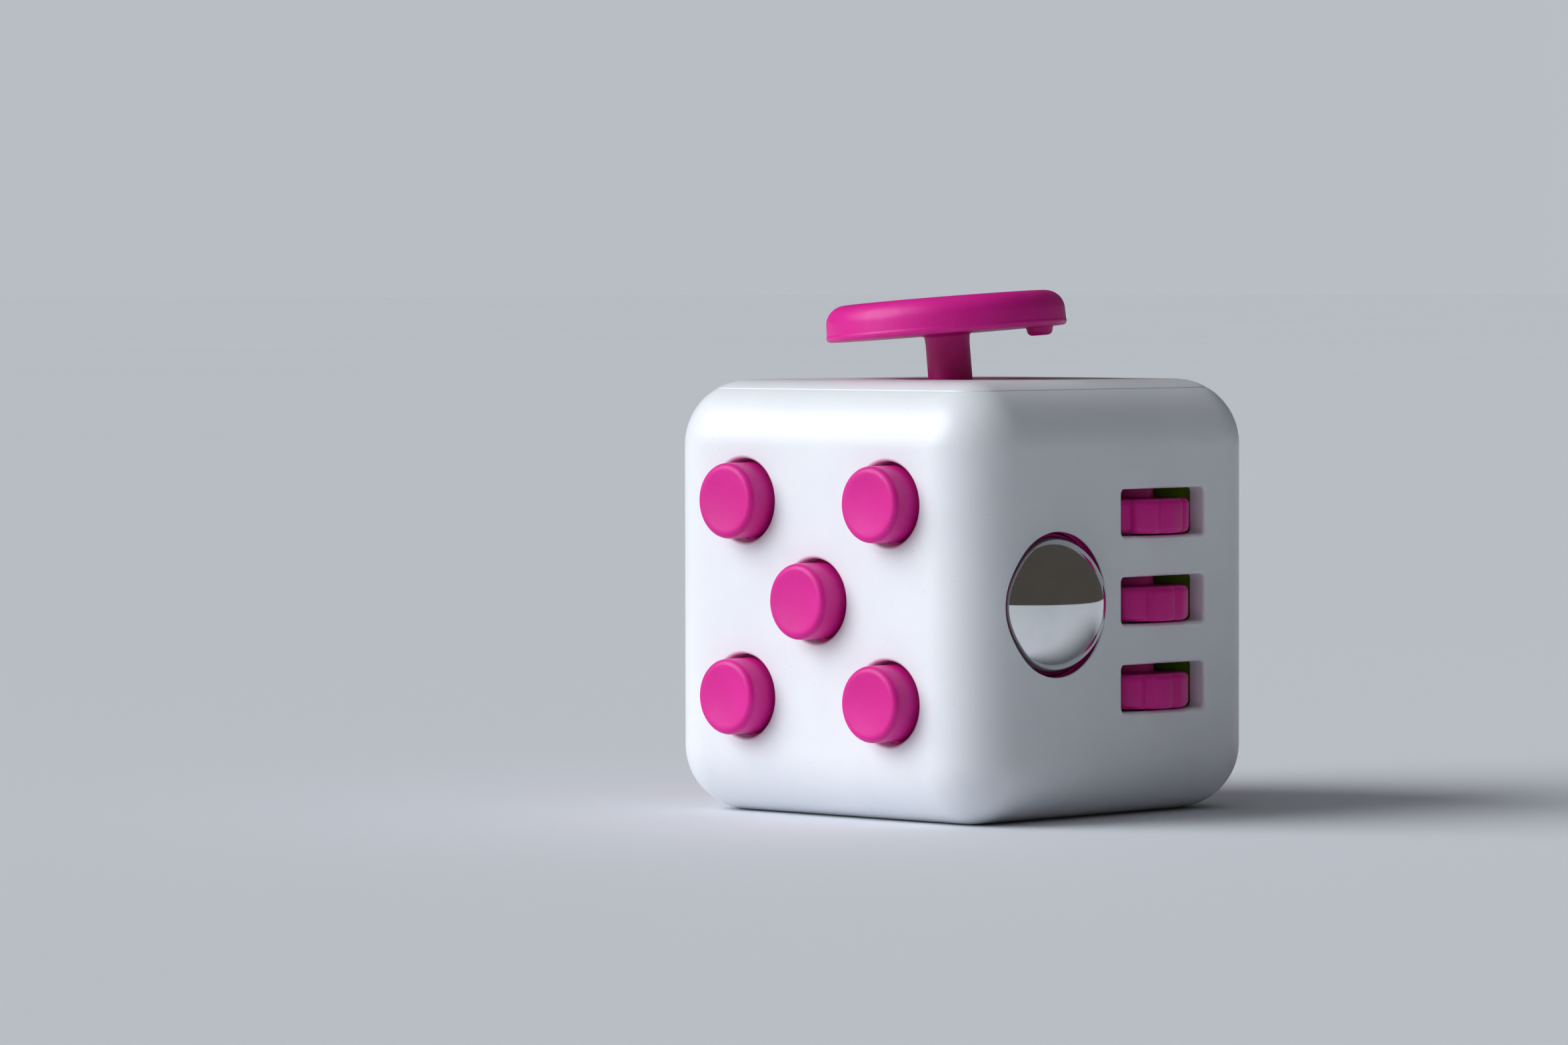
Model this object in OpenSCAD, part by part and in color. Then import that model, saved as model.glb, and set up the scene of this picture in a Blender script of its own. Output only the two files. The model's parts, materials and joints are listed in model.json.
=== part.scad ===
// Fidget cube: a rounded plastic cube with a different control on each side.
// Front (-Y): five click buttons. Right (+X): press-and-roll ball with three thumb wheels.
// Top (+Z): glide stick on a gimbal. Back (+Y): flip rocker. Left (-X): spin dial.
// Bottom (-Z): shallow thumb dish inside the flat rest face.
// Millimetres, +Z up, origin at the centre of the rest face.

/* [Cube] */
// Outside length of one side
cube_side = 33; // [31:0.5:37]
// Radius of the rounded edges and corners
edge_r = 5; // [4:0.1:6]
// Wall thickness
wall = 1.5; // [1.2:0.1:1.8]
// Diameter of the thumb dish under the cube
dish_d = 19; // [14:0.5:20]
// Depth of the thumb dish
dish_depth = 1.5; // [0.8:0.1:1.6]

/* [Click buttons] */
// Distance of the outer buttons from the middle, each way
button_off = 7.42; // [7:0.01:7.6]
// Button cap radius
button_r = 2.87; // [2.5:0.01:3]
// How far a cap stands out of the face
button_out = 2.08; // [1.4:0.01:2.4]
// How far a button presses in
button_travel = 1.2; // [0.6:0.1:1.2]

/* [Glide stick] */
// Height of the gimbal centre above the rest face
pivot_z = 21.5; // [21:0.1:22]
// Post radius
post_r = 1.7; // [1.4:0.05:1.8]
// Disc radius
disc_r = 9.24; // [8:0.02:9.6]
// Disc thickness
disc_t = 2.75; // [2.2:0.05:3]
// Underside of the disc above the gimbal centre
disc_low = 15; // [14.8:0.05:16]
// Lean of the stick about Y as it stands
lean_y = -4; // [-8:0.5:8]
// Lean of the stick about its cross pin as it stands
lean_x = 2.2; // [-8:0.1:8]

/* [Roll face] */
// Ball radius
ball_r = 5.65; // [5.5:0.05:5.8]
// Ball centre in X
ball_x = 13.75; // [13.6:0.01:13.9]
// Ball centre in Y
ball_y = -7.48; // [-7.6:0.01:-7.4]
// Wheel axle in X
axle_x = 12.4; // [12:0.05:12.6]
// Wheel axle in Y
axle_y = 4.53; // [4.4:0.01:4.7]
// Wheel radius
wheel_r = 5; // [4.6:0.05:5]
// Distance between wheels
wheel_pitch = 6.62; // [6.4:0.01:6.8]
// Number of flats round a wheel
wheel_teeth = 11; // [9:1:15]

/* [Flip rocker and spin dial] */
// Rocker swing each way from the middle
rocker_swing = 10; // [6:1:10]
// Dial radius
dial_r = 9; // [8:0.1:9]

/* [Output] */
// Sub-part to output, or "all"

/* [Hidden] */

$fn = 48;
half = cube_side / 2;
mid = half;                    // height of the middle of every side face
inner = half - wall;           // inside face of the side walls
lip_z = cube_side - 3.4;       // underside of the lip that carries the top panel
seat_z = cube_side - 1.7;      // panel seat
lip_in = 12.9;                 // half opening inside the lip
seat_r = 2.5;                  // corner radius of the panel pocket
flat = half - edge_r;          // half width of the flat part of a side
pad_z = wall + 1.6;            // top of the floor pad over the dish
dish_r = dish_d / 2;
dish_ball = (dish_r * dish_r + dish_depth * dish_depth) / (2 * dish_depth);
shank_r = 0.55;
pilot_r = 0.6;
head_r = 1.1;
head_h = 0.9;
plate_out = -11.4;             // button frame, side facing the buttons
plate_in = -10.2;              // button frame, side facing the middle
frame_off = 11.7;
flange_in = -inner + 0.8;      // back of the button flange
button_at = [[0, 0], [-button_off, button_off], [button_off, button_off],
             [-button_off, -button_off], [button_off, -button_off]];
dome_at = [button_at[0], button_at[1], button_at[4]];
slot_y = 9.53;
slot_z = 3.55;
slot_drop = 0.08;              // the middle slot sits a little under the middle of the face
wheel_w = 2.58;
wheel_drop = 0.41;             // wheels sit low in their slots
ball_lip = 0.45;
ball_h = mid - 0.1;            // height of the ball's centre
ball_back = ball_x - ball_r;   // back of the ball
window_gap = 0.39;             // between the ball and the window's wall
ring_r = 6.25;                 // outside of the ring behind the window's lip
screw_hz = 9.2;                // housing screws above and below the ball
clip_in = 11.8;
rock_y = 13.2;                 // rocker pivot
dial_floor = -half + 1;        // floor of the dial recess
dial_pad = -13.8;              // inside face of the pad behind the dial

white = [0.93, 0.94, 0.95];
magenta = [0.80, 0.03, 0.30];
chrome = [0.80, 0.81, 0.83];
steel = [0.62, 0.63, 0.65];
green = [0.15, 0.62, 0.28];
grey = [0.55, 0.56, 0.58];

// cube with rounded edges and true flat sides
module rounded_cube(side, r, fn) {
  a = side / 2 - r;
  hull() {
    for (x = [-a, a], y = [-a, a], z = [-a, a]) translate([x, y, z]) sphere(r = r, $fn = fn);
    cube([side, 2 * a, 2 * a], center = true);
    cube([2 * a, side, 2 * a], center = true);
    cube([2 * a, 2 * a, side], center = true);
  }
}

// box given by its low and high corner
module span(lo, hi) translate(lo) cube(hi - lo);

// turn a shape drawn along +Z so that it runs along -Y, +Y, +X or -X
module to_front(x, y, z) translate([x, y, z]) rotate([90, 0, 0]) children();
module to_back(x, y, z) translate([x, y, z]) rotate([-90, 0, 0]) children();
module to_right(x, y, z) translate([x, y, z]) rotate([0, 90, 0]) children();
module to_left(x, y, z) translate([x, y, z]) rotate([0, -90, 0]) children();

// screw drawn along +Z: head below z = 0, shank above, cross slot in the head
module screw(len) difference() {
  union() {
    translate([0, 0, -head_h]) cylinder(r = head_r, h = head_h);
    cylinder(r = shank_r, h = len, $fn = 24);
  }
  for (a = [0, 90]) rotate([0, 0, a]) translate([-0.8, -0.13, -head_h - 1]) cube([1.6, 0.26, 1.4]);
}

// round wire coil standing on z = 0; the far end may be shifted sideways
module coil(rad, wire, len, turns, drift = [0, 0]) {
  seg = 14;
  k = 6;
  n = turns * seg;
  pts = [for (i = [0:n]) let (a = 360 * i / seg, t = i / n, z = wire + (len - 2 * wire) * t)
    for (j = [0:k - 1]) let (b = 360 * j / k, q = rad + wire * cos(b))
      [q * cos(a) + drift[0] * t * t, q * sin(a) + drift[1] * t * t, z + wire * sin(b)]];
  sides = [for (i = [0:n - 1], j = [0:k - 1], s = [0, 1])
    let (p = i * k + j, q = i * k + (j + 1) % k, u = p + k, v = q + k) s == 0 ? [p, q, v] : [p, v, u]];
  caps = [for (j = [1:k - 2], e = [0, 1]) e == 0 ? [0, j + 1, j] : [n * k, n * k + j, n * k + j + 1]];
  polyhedron(points = pts, faces = concat(sides, caps));
}

// ---------------------------------------------------------------- housing

module shell() color(white) difference() {
  union() {
    difference() {
      translate([0, 0, mid]) rounded_cube(cube_side, edge_r, 32);
      intersection() {
        translate([0, 0, mid]) rounded_cube(2 * inner, edge_r - wall, 24);
        span([-half, -half, 0], [half, half, lip_z]);
      }
      span([-lip_in, -lip_in, lip_z - 1], [lip_in, lip_in, cube_side + 1]);
      translate([0, 0, seat_z]) linear_extrude(height = 5)
        offset(r = seat_r, $fn = 64) square(2 * flat, center = true);
    }
    translate([0, 0, wall - 0.3]) cylinder(r = 11, h = pad_z - wall + 0.3);
    for (x = [-frame_off, frame_off], z = [-frame_off, frame_off])
      to_front(x, plate_out, mid + z) cylinder(r = 1.9, h = inner + plate_out + 0.2);
    for (s = [-1, 1]) {
      to_right(ball_back + 0.68, ball_y, ball_h + s * screw_hz)
        cylinder(r = 1.7, h = inner - ball_back - 0.4);
      to_right(13.2, 12.8, mid + s * 7.5 + 1) cylinder(r = 1.5, h = 2);
      to_back(0, 13, mid + s * 10.3) cylinder(r = 1.5, h = 2.3);
    }
    to_left(dial_pad, 0, mid) cylinder(r = 10, h = 1.5);
  }
  // thumb dish
  translate([0, 0, dish_depth - dish_ball]) sphere(r = dish_ball, $fn = 96);
  // button holes and frame screws
  for (p = button_at) to_front(p[0], -inner + 1, mid + p[1]) cylinder(r = button_r + 0.32, h = 4);
  for (x = [-frame_off, frame_off], z = [-frame_off, frame_off])
    to_front(x, plate_out + 1, mid + z) cylinder(r = pilot_r, h = 4.4, $fn = 24);
  // ball window with its undercut
  translate([ball_x, ball_y, ball_h]) sphere(r = ball_r + window_gap, $fn = 96);
  intersection() {
    to_right(13, ball_y, ball_h) cylinder(r = ring_r + 0.05, h = half - ball_lip - 13);
    translate([0, 0, mid]) rounded_cube(cube_side - 2 * ball_lip, edge_r - ball_lip, 32);
  }
  // wheel slots and the screws behind the right face
  for (i = [-1:1]) translate([half - 1, axle_y, mid - slot_drop + i * wheel_pitch])
    cube([4, slot_y, slot_z], center = true);
  for (s = [-1, 1]) {
    to_right(ball_back - 0.3, ball_y, ball_h + s * screw_hz) cylinder(r = pilot_r, h = 6, $fn = 24);
    to_right(13, 12.8, mid + s * 7.5 + 1) cylinder(r = pilot_r, h = 1.7, $fn = 24);
    to_back(0, 12, mid + s * 10.3) cylinder(r = pilot_r, h = 3.4, $fn = 24);
  }
  // rocker window, dial recess and dial bearing
  span([-4.6, 14, mid - 7], [4.6, 18, mid + 7]);
  to_left(dial_floor, 0, mid) cylinder(r = dial_r + 0.2, h = 3, $fn = 96);
  to_left(-12, 0, mid) cylinder(r = 2.25, h = 6);
}

module top_panel() color(white) {
  difference() {
    intersection() {
      translate([0, 0, mid]) rounded_cube(cube_side, edge_r, 32);
      translate([0, 0, seat_z]) linear_extrude(height = 5)
        offset(r = seat_r - 0.05, $fn = 64) square(2 * flat, center = true);
    }
    translate([0, 0, seat_z - 1]) cylinder(r = 5, h = 5, $fn = 64);
    for (x = [-4.6, 4.6], y = [-8.4, 8.4]) translate([x, y, seat_z - 1])
      cylinder(r = pilot_r, h = 2, $fn = 24);
  }
  for (a = [0:90:270]) rotate([0, 0, a]) {
    span([clip_in, -2, seat_z - 2.7], [12.75, 2, seat_z + 0.2]);
    span([12.7, -2, seat_z - 2.6], [13.5, 2, lip_z - 0.1]);
  }
}

// ---------------------------------------------------------------- glide stick

module joystick_cradle() color(grey) difference() {
  union() {
    span([-6.5, -10, lip_z], [6.5, 10, seat_z]);
    for (s = [-1, 1]) translate([0, s * 5.95, 0]) {
      span([-2, -0.75, pivot_z], [2, 0.75, lip_z + 0.1]);
      to_back(0, -0.75, pivot_z) cylinder(r = 2, h = 1.5);
    }
  }
  translate([0, 0, lip_z - 1]) cylinder(r = 4.6, h = 4, $fn = 64);
  to_back(0, -8, pivot_z) cylinder(r = 0.65, h = 16, $fn = 32);
  for (x = [-4.6, 4.6], y = [-8.4, 8.4]) translate([x, y, lip_z - 1]) cylinder(r = pilot_r, h = 4, $fn = 24);
}

module cradle_screws() color(steel)
  for (x = [-4.6, 4.6], y = [-8.4, 8.4]) translate([x, y, lip_z]) screw(2.5);

module at_gimbal() translate([0, 0, pivot_z]) rotate([0, lean_y, 0]) children();
module at_stick() at_gimbal() rotate([lean_x, 0, 0]) children();

module gimbal_ring() color(grey) at_gimbal() difference() {
  translate([0, 0, -1.3]) cylinder(r = 4.7, h = 2.6, $fn = 64);
  translate([0, 0, -2]) cylinder(r = 3.3, h = 4, $fn = 64);
  to_back(0, -6, 0) cylinder(r = 0.62, h = 12, $fn = 32);
  to_right(-6, 0, 0) cylinder(r = 0.62, h = 12, $fn = 32);
}

module ring_pins() color(steel) at_gimbal() for (s = [-1, 1])
  to_back(0, s * 5.05 - 1.55, 0) cylinder(r = 0.6, h = 3.1, $fn = 32);

module stem_pin() color(steel) at_gimbal() to_right(-4.6, 0, 0) cylinder(r = 0.6, h = 9.2, $fn = 32);

module joystick_stem() color(magenta) at_stick() difference() {
  rotate_extrude($fn = 48) polygon([[0, -5.5], [1.1, -5.5], [1.3, -5.3], [1.3, -3.6], [2.6, -3.6],
    [2.6, -2.9], [1.4, -2.5], [1.4, -1.5], [2.4, -1.3], [2.6, -1], [2.6, 1], [2.2, 1.4],
    [post_r, 2.2], [post_r, disc_low + 0.9], [post_r - 0.25, disc_low + 1.15], [0, disc_low + 1.15]]);
  to_right(-4, 0, 0) cylinder(r = 0.65, h = 8, $fn = 32);
}

module joystick_disc() color(magenta) at_stick() difference() {
  union() {
    translate([0, 0, disc_low]) rotate_extrude($fn = 96) polygon(concat(
      [[0, 0], [disc_r - 0.3, 0], [disc_r, 0.3], [disc_r, 0.45]],
      [for (a = [0:10:90]) [disc_r - 1.5 + 1.5 * cos(a), disc_t - 1.5 + 1.5 * sin(a)]],
      [[0, disc_t]]));
    // grip nub under the rim
    translate([5.15, 4.93, disc_low - 0.3]) rotate_extrude($fn = 32) polygon(concat(
      [[0, 0.7], [1.05, 0.7], [1.05, 0.1]],
      [for (a = [0:15:90]) [0.6 + 0.4 * cos(a), -0.4 * sin(a)]], [[0, -0.4]]));
  }
  translate([0, 0, disc_low - 1]) cylinder(r = post_r + 0.05, h = 2.2);
}

module spring_seat() color(grey) translate([0, 0, pad_z]) rotate_extrude($fn = 48)
  polygon([[0, 0], [4, 0], [4, 1], [2.9, 1.8], [2.9, 5.9], [1.55, 5.9], [1.55, 8], [1.3, 8.2], [0, 8.2]]);

module centering_spring() color(steel) translate([0, 0, pad_z + 5.95])
  coil(2.15, 0.28, 8.6, 5, [0.27, 0.15]);

// ---------------------------------------------------------------- click face

module click_button(i) color(magenta) to_front(button_at[i][0], 0, mid + button_at[i][1])
  rotate_extrude($fn = 64) polygon(concat(
    [[0, 12.95], [0.8, 12.95], [1, 13.15], [1, -flange_in], [button_r + 0.9, -flange_in],
     [button_r + 0.9, inner - 0.05], [button_r, inner - 0.05]],
    [for (a = [0:15:90]) [button_r - 0.45 + 0.45 * cos(a), half + button_out - 0.45 + 0.45 * sin(a)]],
    [[1.6, half + button_out - 0.06], [0, half + button_out - 0.12]]));

module click_spring(i) color(steel)
  to_front(button_at[i][0], plate_out - 0.05, mid + button_at[i][1]) coil(1.55, 0.18, 2.7, 3);

module button_1() click_button(0);
module button_2() click_button(1);
module button_3() click_button(2);
module button_4() click_button(3);
module button_5() click_button(4);
module button_spring_1() click_spring(0);
module button_spring_2() click_spring(1);
module button_spring_3() click_spring(2);
module button_spring_4() click_spring(3);
module button_spring_5() click_spring(4);

module snap_domes() color(steel) for (p = dome_at) to_front(p[0], plate_out, mid + p[1])
  rotate_extrude($fn = 32) polygon([[0, 0.18], [0.6, 0.14], [1.1, 0], [1.22, 0], [0.65, 0.24], [0, 0.28]]);

module button_frame() color(grey) difference() {
  span([-12.8, plate_out, mid - 12.9], [12.8, plate_in, mid + 12.7]);
  to_front(ball_x, plate_in + 1, ball_h) cylinder(r = 5.6, h = 3);
  span([ball_back - 3.1, plate_out - 1, ball_h - 4.6], [ball_x, plate_in + 1, ball_h + 4.6]);
  for (x = [-frame_off, frame_off], z = [-frame_off, frame_off])
    to_front(x, plate_in + 1, mid + z) cylinder(r = pilot_r, h = 4, $fn = 24);
}

module frame_screws() color(steel) for (x = [-frame_off, frame_off], z = [-frame_off, frame_off])
  to_front(x, plate_in, mid + z) screw(4);

// ---------------------------------------------------------------- roll face

module ball() color(chrome) translate([ball_x, ball_y, ball_h]) sphere(r = ball_r, $fn = 96);

module ball_ring() color(magenta) difference() {
  intersection() {
    to_right(14, ball_y, ball_h) cylinder(r = ring_r, h = half - ball_lip - 14);
    translate([0, 0, mid]) rounded_cube(cube_side - 2 * ball_lip - 0.04, edge_r - ball_lip, 32);
  }
  translate([ball_x, ball_y, ball_h]) sphere(r = ball_r + 0.1, $fn = 96);
}

module ball_cup() color(grey) difference() {
  to_right(ball_back - 0.92, ball_y, ball_h) cylinder(r = 4.3, h = 2.5);
  translate([ball_x, ball_y, ball_h]) sphere(r = ball_r + 0.05, $fn = 96);
}

module ball_housing() color(grey) difference() {
  union() {
    to_right(ball_back - 2.72, ball_y, ball_h) cylinder(r = 5, h = 3.4);
    to_right(ball_back - 5.82, ball_y, ball_h) cylinder(r = 2.4, h = 3.6);
    span([ball_back - 0.52, ball_y - 2, ball_h - 11], [ball_back + 0.68, ball_y + 2, ball_h + 11]);
  }
  to_right(ball_back - 1.92, ball_y, ball_h) cylinder(r = 4.4, h = 6);
  to_right(ball_back - 5.12, ball_y, ball_h) cylinder(r = 1.85, h = 6);
  for (s = [-1, 1]) to_right(ball_back - 1.32, ball_y, ball_h + s * screw_hz)
    cylinder(r = pilot_r, h = 4, $fn = 24);
}

module ball_spring() color(steel) to_right(ball_back - 5.1, ball_y, ball_h) coil(1.5, 0.2, 4.14, 5);

module housing_screws() color(steel) for (s = [-1, 1])
  to_right(ball_back - 0.52, ball_y, ball_h + s * screw_hz) screw(5);

wheel_low_z = mid - wheel_drop - wheel_w / 2;
hub_h = wheel_pitch - 0.25;                    // a wheel with its hub, short of the next wheel
module wheel(i, phase) color(magenta)
  translate([axle_x, axle_y, wheel_low_z + i * wheel_pitch]) rotate([0, 0, phase]) difference() {
    union() {
      rotate_extrude($fn = 64) polygon([[0, 0], [wheel_r - 0.4, 0], [wheel_r - 0.12, 0.12], [wheel_r, 0.4],
        [wheel_r, wheel_w - 0.4], [wheel_r - 0.12, wheel_w - 0.12], [wheel_r - 0.4, wheel_w], [0, wheel_w]]);
      cylinder(r = 2.3, h = hub_h);
    }
    translate([0, 0, -1]) cylinder(r = 1.05, h = 10, $fn = 32);
    for (k = [0:wheel_teeth - 1]) rotate([0, 0, 360 * k / wheel_teeth])
      translate([wheel_r + 0.1, 0, -1]) cylinder(r = 0.38, h = wheel_w + 2, $fn = 16);
  }

module wheel_low() wheel(-1, 6);
module wheel_mid() wheel(0, 9);
module wheel_top() wheel(1, 22);

rail_y = 9.85;                                 // near side of the rail beside the wheels
arm_low = wheel_low_z - wheel_pitch - 1.4;     // lower arm, just under the lowest wheel
arm_high = wheel_low_z + wheel_pitch + hub_h + 0.15;

module gear_axle() color(steel) translate([axle_x, axle_y, 6.2]) cylinder(r = 1, h = 23.2, $fn = 32);

module gear_bracket() color(green) difference() {
  union() {
    span([6.5, rail_y, arm_low], [14.9, rail_y + 1.2, arm_high + 1.2]);
    for (z = [arm_low, arm_high]) {
      span([axle_x - 2.2, axle_y, z], [axle_x + 2.2, rail_y + 0.2, z + 1.2]);
      translate([axle_x, axle_y, z]) cylinder(r = 2.2, h = 1.2);
    }
    for (s = [-1, 1]) span([12, rail_y + 1.1, mid + s * 7.5 - 0.6], [13.2, 14.2, mid + s * 7.5 + 2.6]);
  }
  translate([axle_x, axle_y, 4]) cylinder(r = 1.02, h = 28, $fn = 32);
  for (s = [-1, 1]) to_right(11, 12.8, mid + s * 7.5 + 1) cylinder(r = pilot_r, h = 4, $fn = 24);
}

module bracket_screws() color(steel) for (s = [-1, 1])
  to_right(12, 12.8, mid + s * 7.5 + 1) screw(2.4);

// ---------------------------------------------------------------- flip rocker

module at_rocker() translate([0, rock_y, mid]) rotate([-rocker_swing, 0, 0]) children();

module rocker() color(magenta) at_rocker() difference() {
  translate([-4.35, 0, 0]) rotate([90, 0, 90]) linear_extrude(height = 8.7)
    polygon([[4.2, 6.1], [3.75, 3], [3.5, 0], [3.75, -3], [4.2, -6.1], [2, -6.5], [0.2, -6.6],
      [-1.2, -3], [-2.1, -1.6], [-2.1, 1.6], [-1.2, 3], [0.2, 6.6], [2, 6.5]]);
  for (s = [-1, 1]) to_right(s * 3.7 - 1, 0, 0) cylinder(r = 0.85, h = 2, $fn = 32);
  to_back(0, -3, 0) cylinder(r = 0.95, h = 4.8, $fn = 32);
}

module rocker_pins() color(steel) for (s = [-1, 1])
  to_right(s * 4.45 - 1.65, rock_y, mid) cylinder(r = 0.8, h = 3.3, $fn = 32);

module rocker_cradle() color(grey) difference() {
  union() {
    span([-6.1, 9, mid - 8.6], [6.1, 10.2, mid + 8.6]);
    for (s = [-1, 1]) {
      span([s * 5.5 - 0.6, 9, mid - 8.6], [s * 5.5 + 0.6, 14.9, mid + 8.6]);
      span([-5, 9, mid + s * 8 - 0.6], [5, 13, mid + s * 8 + 0.6]);
      span([-1.8, 11.8, mid + s * 9.9 - 1.9], [1.8, 13, mid + s * 9.9 + 1.9]);
    }
  }
  to_right(-4.8, rock_y, mid) cylinder(r = 3.05, h = 9.6);
  for (s = [-1, 1]) {
    to_right(s * 5.5 - 1, rock_y, mid) cylinder(r = 0.82, h = 2, $fn = 32);
    to_back(0, 11, mid + s * 10.3) cylinder(r = pilot_r, h = 3, $fn = 24);
  }
}

module rocker_screws() color(steel) for (s = [-1, 1])
  to_back(0, 11.8, mid + s * 10.3) screw(3);

module detent_spring() color(steel) at_rocker() to_back(0, -1.35, 0) coil(0.6, 0.14, 3.1, 5);

module detent_ball() color(chrome) at_rocker() translate([0, -2.18, 0]) sphere(r = 0.8, $fn = 32);

// ---------------------------------------------------------------- spin dial

module dial() color(magenta) difference() {
  to_left(0, 0, mid) rotate_extrude($fn = 96) polygon(concat(
    [[0, 13.75], [2.2, 13.75], [2.2, 15.75], [dial_r, 15.75]],
    [for (a = [0:15:90]) [dial_r - 0.7 + 0.7 * cos(a), 17.2 + 0.7 * sin(a)]],
    [[7.4, 17.75], [5, 17.2], [2.5, 16.95], [0, 16.9]]));
  to_left(-13, 0, mid) cylinder(r = pilot_r, h = 3.3, $fn = 24);
}

module dial_washer() color(steel) difference() {
  to_left(-12.9, 0, mid) cylinder(r = 3.4, h = 0.8);
  to_left(-12, 0, mid) cylinder(r = pilot_r, h = 3, $fn = 24);
}

module dial_screw() color(steel) to_left(-12.9, 0, mid) screw(3.2);

module spin_washer() color(steel) difference() {
  to_left(dial_floor, 0, mid) cylinder(r = 7, h = 0.2, $fn = 64);
  to_left(dial_floor + 1, 0, mid) cylinder(r = 4, h = 3, $fn = 64);
}

// ---------------------------------------------------------------- output

shell();
top_panel();
joystick_cradle();
cradle_screws();
gimbal_ring();
ring_pins();
stem_pin();
joystick_stem();
joystick_disc();
centering_spring();
spring_seat();
button_1();
button_2();
button_3();
button_4();
button_5();
button_spring_1();
button_spring_2();
button_spring_3();
button_spring_4();
button_spring_5();
snap_domes();
button_frame();
frame_screws();
ball();
ball_ring();
ball_cup();
ball_housing();
ball_spring();
housing_screws();
gear_axle();
wheel_top();
wheel_mid();
wheel_low();
gear_bracket();
bracket_screws();
rocker();
rocker_pins();
rocker_cradle();
rocker_screws();
detent_spring();
detent_ball();
dial();
dial_washer();
dial_screw();
spin_washer();
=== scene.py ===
import json
import math

import bmesh
import bpy
import numpy as np
from mathutils import Matrix, Vector


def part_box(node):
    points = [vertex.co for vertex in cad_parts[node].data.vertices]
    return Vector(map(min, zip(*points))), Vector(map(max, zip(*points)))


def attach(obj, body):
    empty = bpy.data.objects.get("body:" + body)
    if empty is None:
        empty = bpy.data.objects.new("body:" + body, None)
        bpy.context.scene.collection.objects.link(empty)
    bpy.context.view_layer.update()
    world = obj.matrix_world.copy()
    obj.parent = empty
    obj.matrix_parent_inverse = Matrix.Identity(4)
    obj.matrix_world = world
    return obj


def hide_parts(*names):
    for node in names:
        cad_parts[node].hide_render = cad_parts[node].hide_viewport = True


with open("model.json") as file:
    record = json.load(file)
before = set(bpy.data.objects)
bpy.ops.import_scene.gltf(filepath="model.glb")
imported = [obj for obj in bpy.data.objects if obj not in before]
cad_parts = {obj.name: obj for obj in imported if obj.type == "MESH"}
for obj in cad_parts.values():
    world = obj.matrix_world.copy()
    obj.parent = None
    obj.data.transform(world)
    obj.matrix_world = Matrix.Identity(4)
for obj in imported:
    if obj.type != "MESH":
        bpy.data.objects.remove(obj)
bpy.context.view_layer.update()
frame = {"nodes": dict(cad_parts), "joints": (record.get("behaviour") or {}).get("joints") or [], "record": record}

MM = 0.001
scene = bpy.context.scene

# ------------------------------------------------------------ sizes, from the frame where it has them

shell_lo, shell_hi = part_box("shell")
SIDE = shell_hi.x - shell_lo.x
HALF = SIDE / 2
MID = Vector((0, 0, HALF))
EDGE_R = 5 * MM
WALL = 1.5 * MM
FLAT = HALF - EDGE_R            # half width of the flat part of a side
ARC_STEPS = 12                  # mesh steps in half a rounded edge
LIP_STEPS = 6                   # mesh steps round the lip of a hole
LIP_TURN = math.radians(75)     # how far a lip turns before it meets the skin
PAST_SKIN = 1 * MM              # how far a cutter reaches past a face, or into the room inside


def middle(node):
    lo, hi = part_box(node)
    return (lo + hi) / 2


def joint_at(name):
    return Vector(next(j for j in frame["joints"] if j["name"] == name)["pos_m"])


# ------------------------------------------------------------ mesh helpers

def new_object(name, verts, faces):
    mesh = bpy.data.meshes.new(name)
    mesh.from_pydata([tuple(v) for v in verts], [], faces)
    mesh.validate()
    obj = bpy.data.objects.new(name, mesh)
    scene.collection.objects.link(obj)
    return obj


def outward(obj):
    """Makes the faces of a closed mesh point outward."""
    bm = bmesh.new()
    bm.from_mesh(obj.data)
    bmesh.ops.remove_doubles(bm, verts=bm.verts, dist=1e-7)
    bmesh.ops.recalc_face_normals(bm, faces=bm.faces)
    bm.to_mesh(obj.data)
    bm.free()
    return obj


def rounded_cube(name, side, radius, steps):
    """Cube with round edges and corners; each flat is one face."""
    a = side / 2 - radius
    tips = [radius * math.tan(math.radians(45) * k / steps) for k in range(steps + 1)]
    marks = [-a - t for t in reversed(tips)] + [a + t for t in tips]
    verts, faces = [], []
    for axis in range(3):
        for sign in (-1, 1):
            start = len(verts)
            for u in marks:
                for v in marks:
                    p = [0, 0, 0]
                    p[axis] = sign * (a + radius)
                    p[(axis + 1) % 3], p[(axis + 2) % 3] = u, v
                    core = Vector([max(-a, min(a, x)) for x in p])
                    verts.append(MID + core + radius * (Vector(p) - core).normalized())
            n = len(marks)
            for i in range(n - 1):
                for j in range(n - 1):
                    q = start + i * n + j
                    face = (q, q + n, q + n + 1, q + 1)
                    faces.append(face if sign > 0 else face[::-1])
    return outward(new_object(name, verts, faces))


def skin_height(p, axis):
    """How far out the rounded cube's skin is along axis, at the point's other two coordinates."""
    q = Vector(p) - MID
    over = [max(0, abs(q[k]) - FLAT) for k in range(3) if k != axis]
    return FLAT + math.sqrt(max(0, EDGE_R * EDGE_R - sum(x * x for x in over)))


def circle(radius, steps=96, centre=(0, 0)):
    def outline(grow):
        return [(centre[0] + (radius + grow) * math.cos(2 * math.pi * k / steps),
                 centre[1] + (radius + grow) * math.sin(2 * math.pi * k / steps)) for k in range(steps)]
    return outline


def rounded_rect(half_u, half_v, corner, steps=8, centre=(0, 0)):
    def outline(grow):
        points = []
        for quarter, (su, sv) in enumerate(((1, 1), (-1, 1), (-1, -1), (1, -1))):
            for k in range(steps + 1):
                t = math.radians(90) * (quarter + k / steps)
                points.append((centre[0] + su * (half_u - corner) + (corner + grow) * math.cos(t),
                               centre[1] + sv * (half_v - corner) + (corner + grow) * math.sin(t)))
        return points
    return outline


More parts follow.
